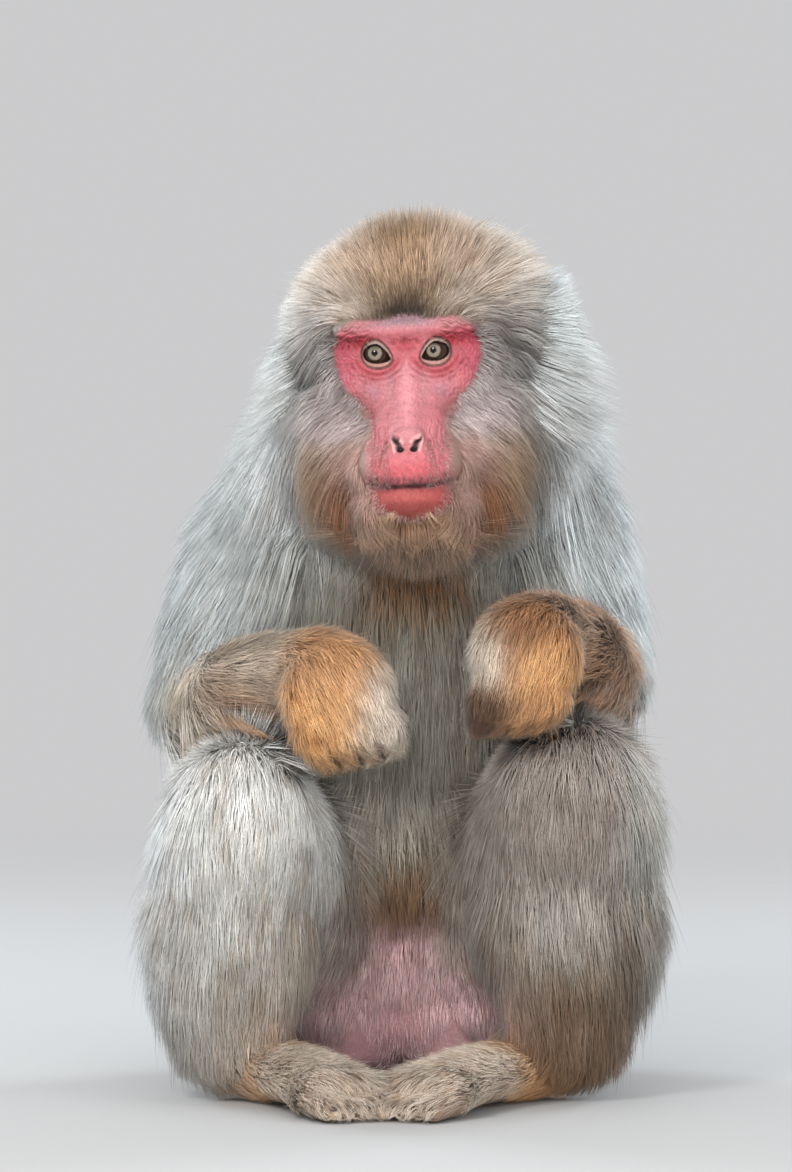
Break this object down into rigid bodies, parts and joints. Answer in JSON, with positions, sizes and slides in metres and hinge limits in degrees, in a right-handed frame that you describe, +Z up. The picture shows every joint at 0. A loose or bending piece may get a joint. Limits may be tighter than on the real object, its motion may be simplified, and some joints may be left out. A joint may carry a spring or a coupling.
{
  "type": "japanese macaque",
  "caption": "Life-size Japanese macaque in winter coat, seated upright with knees raised and forearms resting across them, its bare pink face turned forward.",
  "frame": {"origin": "on the floor, under the middle of the model's box", "axes": "+Z up; the animal faces -Y, and its own left side is +X"},
  "size_m": [0.3296, 0.4173, 0.5411],
  "materials": {
    "fur_pale": "pale grey-beige winter fur",
    "fur_brown": "brown fur of the crown, forearms and tail",
    "fur_gold": "orange-gold fur of the hands and feet",
    "skin_pink": "bare pink-red skin, softly wrinkled",
    "iris_brown": "wet, clear eye"
  },
  "bodies": {
    "root": {"head": "fur_brown", "face": "skin_pink", "lower_jaw": "skin_pink", "neck": "fur_pale", "chest": "fur_pale", "abdomen": "fur_pale", "rump": "fur_pale", "tail": "fur_brown", "eye_right": "iris_brown", "ear_right": "skin_pink", "seat_pad_right": "skin_pink", "upper_arm_right": "fur_pale", "forearm_right": "fur_brown", "hand_right": "fur_gold", "thigh_right": "fur_pale", "shin_right": "fur_pale", "foot_right": "fur_gold", "eye_left": "iris_brown", "ear_left": "skin_pink", "seat_pad_left": "skin_pink", "upper_arm_left": "fur_pale", "forearm_left": "fur_brown", "hand_left": "fur_gold", "thigh_left": "fur_pale", "shin_left": "fur_pale", "foot_left": "fur_gold"}
  },
  "joints": []
}
